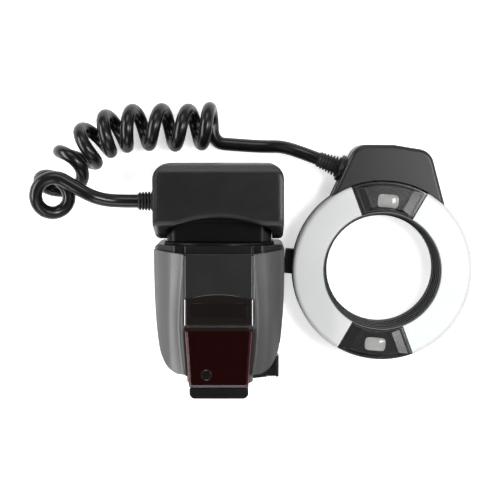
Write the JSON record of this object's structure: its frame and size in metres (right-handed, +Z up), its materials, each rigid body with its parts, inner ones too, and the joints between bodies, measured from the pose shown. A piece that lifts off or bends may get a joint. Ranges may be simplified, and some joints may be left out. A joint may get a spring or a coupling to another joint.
{
  "type": "macro ring flash",
  "caption": "Ring flash for close-up work: a ring head with two milky arcs and aiming lamps, joined by a curly cord to a shoe-mount control unit with a tilting head.",
  "frame": {"origin": "middle of the box round the control unit and the ring head, on the surface they lie on", "axes": "X from the control unit to the ring head, Y up the control unit from its foot to its head, Z up from the surface"},
  "size_m": [0.2563, 0.172, 0.0635],
  "materials": {
    "black_plastic": "fine satin black moulded plastic",
    "grey_plastic": "satin dark grey painted plastic",
    "gloss_black": "polished black plastic",
    "red_window": "polished dark red see-through plastic",
    "diffuser": "milky white, pearl-like",
    "clear_plastic": "clear moulded plastic",
    "rubber": "satin black",
    "cord": "half-gloss black jacket",
    "key_plastic": "matte dark grey keys",
    "steel": "brushed",
    "contact": "gold plated",
    "board": "green lacquered board",
    "reflector": "bright rolled"
  },
  "bodies": {
    "unit": {"battery_contacts": "contact", "battery_tray": "black_plastic", "bore_sleeve": "black_plastic", "center_fascia": "black_plastic", "chin_cover": "black_plastic", "contact_pins": "contact", "control_panel": "black_plastic", "cord_coil": "cord", "cord_lead": "cord", "cord_tail": "cord", "display_module": "board", "display_window": "gloss_black", "door_pin": "steel", "flash_tubes": "clear_plastic", "focus_lamp": "clear_plastic", "foot_base": "black_plastic", "foot_plate": "steel", "front_shell": "grey_plastic", "lamp_lights": "board", "lamp_windows": "clear_plastic", "left_diffuser": "diffuser", "light_sensor": "black_plastic", "main_board": "board", "main_capacitor": "reflector", "neck_block": "black_plastic", "neck_collar": "black_plastic", "rear_shell": "black_plastic", "red_window": "red_window", "reflectors": "reflector", "release_springs": "steel", "right_diffuser": "diffuser", "ring_board": "board", "ring_boot": "rubber", "ring_boot_nut": "black_plastic", "ring_front_cover": "black_plastic", "ring_hump_cover": "black_plastic", "ring_rear_shell": "black_plastic", "terminal_cover": "rubber", "top_cover": "black_plastic", "upper_window": "gloss_black"},
    "head": {"head_rear_shell": "black_plastic", "head_front_shell": "black_plastic", "head_boot": "rubber", "tilt_pins": "black_plastic"},
    "battery_door": {"battery_door": "black_plastic", "door_contacts": "contact"},
    "lock_lever": {"lock_lever": "black_plastic"},
    "lock_pin": {"lock_pin": "steel"},
    "power_switch": {"power_switch": "key_plastic"},
    "left_release": {"left_release": "black_plastic"},
    "mode_key": {"mode_key": "key_plastic"},
    "sync_key": {"sync_key": "key_plastic"},
    "ratio_key": {"ratio_key": "key_plastic"},
    "lamp_key": {"lamp_key": "key_plastic"},
    "minus_key": {"minus_key": "key_plastic"},
    "set_key": {"set_key": "key_plastic"},
    "plus_key": {"plus_key": "key_plastic"},
    "test_key": {"test_key": "key_plastic"}
  },
  "joints": [
    {"name": "head_tilt", "type": "hinge", "parent": "unit", "child": "head", "pos_m": [-0.04995, 0.03445, 0.031], "axis": [-1, 0, 0], "range_deg": [0, 90], "deforming": ["cord_lead", "cord_coil", "cord_tail"]},
    {"name": "battery_door_swing", "type": "hinge", "parent": "unit", "child": "battery_door", "pos_m": [-0.08585, -0.00925, 0.0227], "axis": [0, 0, -1], "range_deg": [0, 90]},
    {"name": "lock_lever_swing", "type": "hinge", "parent": "unit", "child": "lock_lever", "pos_m": [-0.04995, -0.06215, 0.027], "axis": [0, -1, 0], "range_deg": [0, 36]},
    {"name": "lock_pin_drop", "type": "slide", "parent": "unit", "child": "lock_pin", "axis": [0, -1, 0], "range_m": [0, 0.0016]},
    {"name": "power_switch_slide", "type": "slide", "parent": "unit", "child": "power_switch", "axis": [1, 0, 0], "range_m": [0, 0.0076]},
    {"name": "mode_key_press", "type": "slide", "parent": "unit", "child": "mode_key", "axis": [0, 0, 1], "range_m": [0, 0.0006], "stiffness_N_per_m": 400, "springref_m": -0.0005},
    {"name": "sync_key_press", "type": "slide", "parent": "unit", "child": "sync_key", "axis": [0, 0, 1], "range_m": [0, 0.0006], "stiffness_N_per_m": 400, "springref_m": -0.0005},
    {"name": "ratio_key_press", "type": "slide", "parent": "unit", "child": "ratio_key", "axis": [0, 0, 1], "range_m": [0, 0.0006], "stiffness_N_per_m": 400, "springref_m": -0.0005},
    {"name": "lamp_key_press", "type": "slide", "parent": "unit", "child": "lamp_key", "axis": [0, 0, 1], "range_m": [0, 0.0006], "stiffness_N_per_m": 400, "springref_m": -0.0005},
    {"name": "minus_key_press", "type": "slide", "parent": "unit", "child": "minus_key", "axis": [0, 0, 1], "range_m": [0, 0.0006], "stiffness_N_per_m": 400, "springref_m": -0.0005},
    {"name": "set_key_press", "type": "slide", "parent": "unit", "child": "set_key", "axis": [0, 0, 1], "range_m": [0, 0.0006], "stiffness_N_per_m": 400, "springref_m": -0.0005},
    {"name": "plus_key_press", "type": "slide", "parent": "unit", "child": "plus_key", "axis": [0, 0, 1], "range_m": [0, 0.0006], "stiffness_N_per_m": 400, "springref_m": -0.0005},
    {"name": "test_key_press", "type": "slide", "parent": "unit", "child": "test_key", "axis": [0, 0, 1], "range_m": [0, 0.0006], "stiffness_N_per_m": 400, "springref_m": -0.0005},
    {"name": "left_release_press", "type": "slide", "parent": "unit", "child": "left_release", "axis": [0.9965, -0.0837, 0], "range_m": [0, 0.0026], "stiffness_N_per_m": 500, "springref_m": -0.002, "deforming": ["release_springs"]}
  ],
  "couplings": [
    {"joint": "lock_pin_drop", "follows": "lock_lever_swing", "m_per_rad": 0.002546}
  ]
}
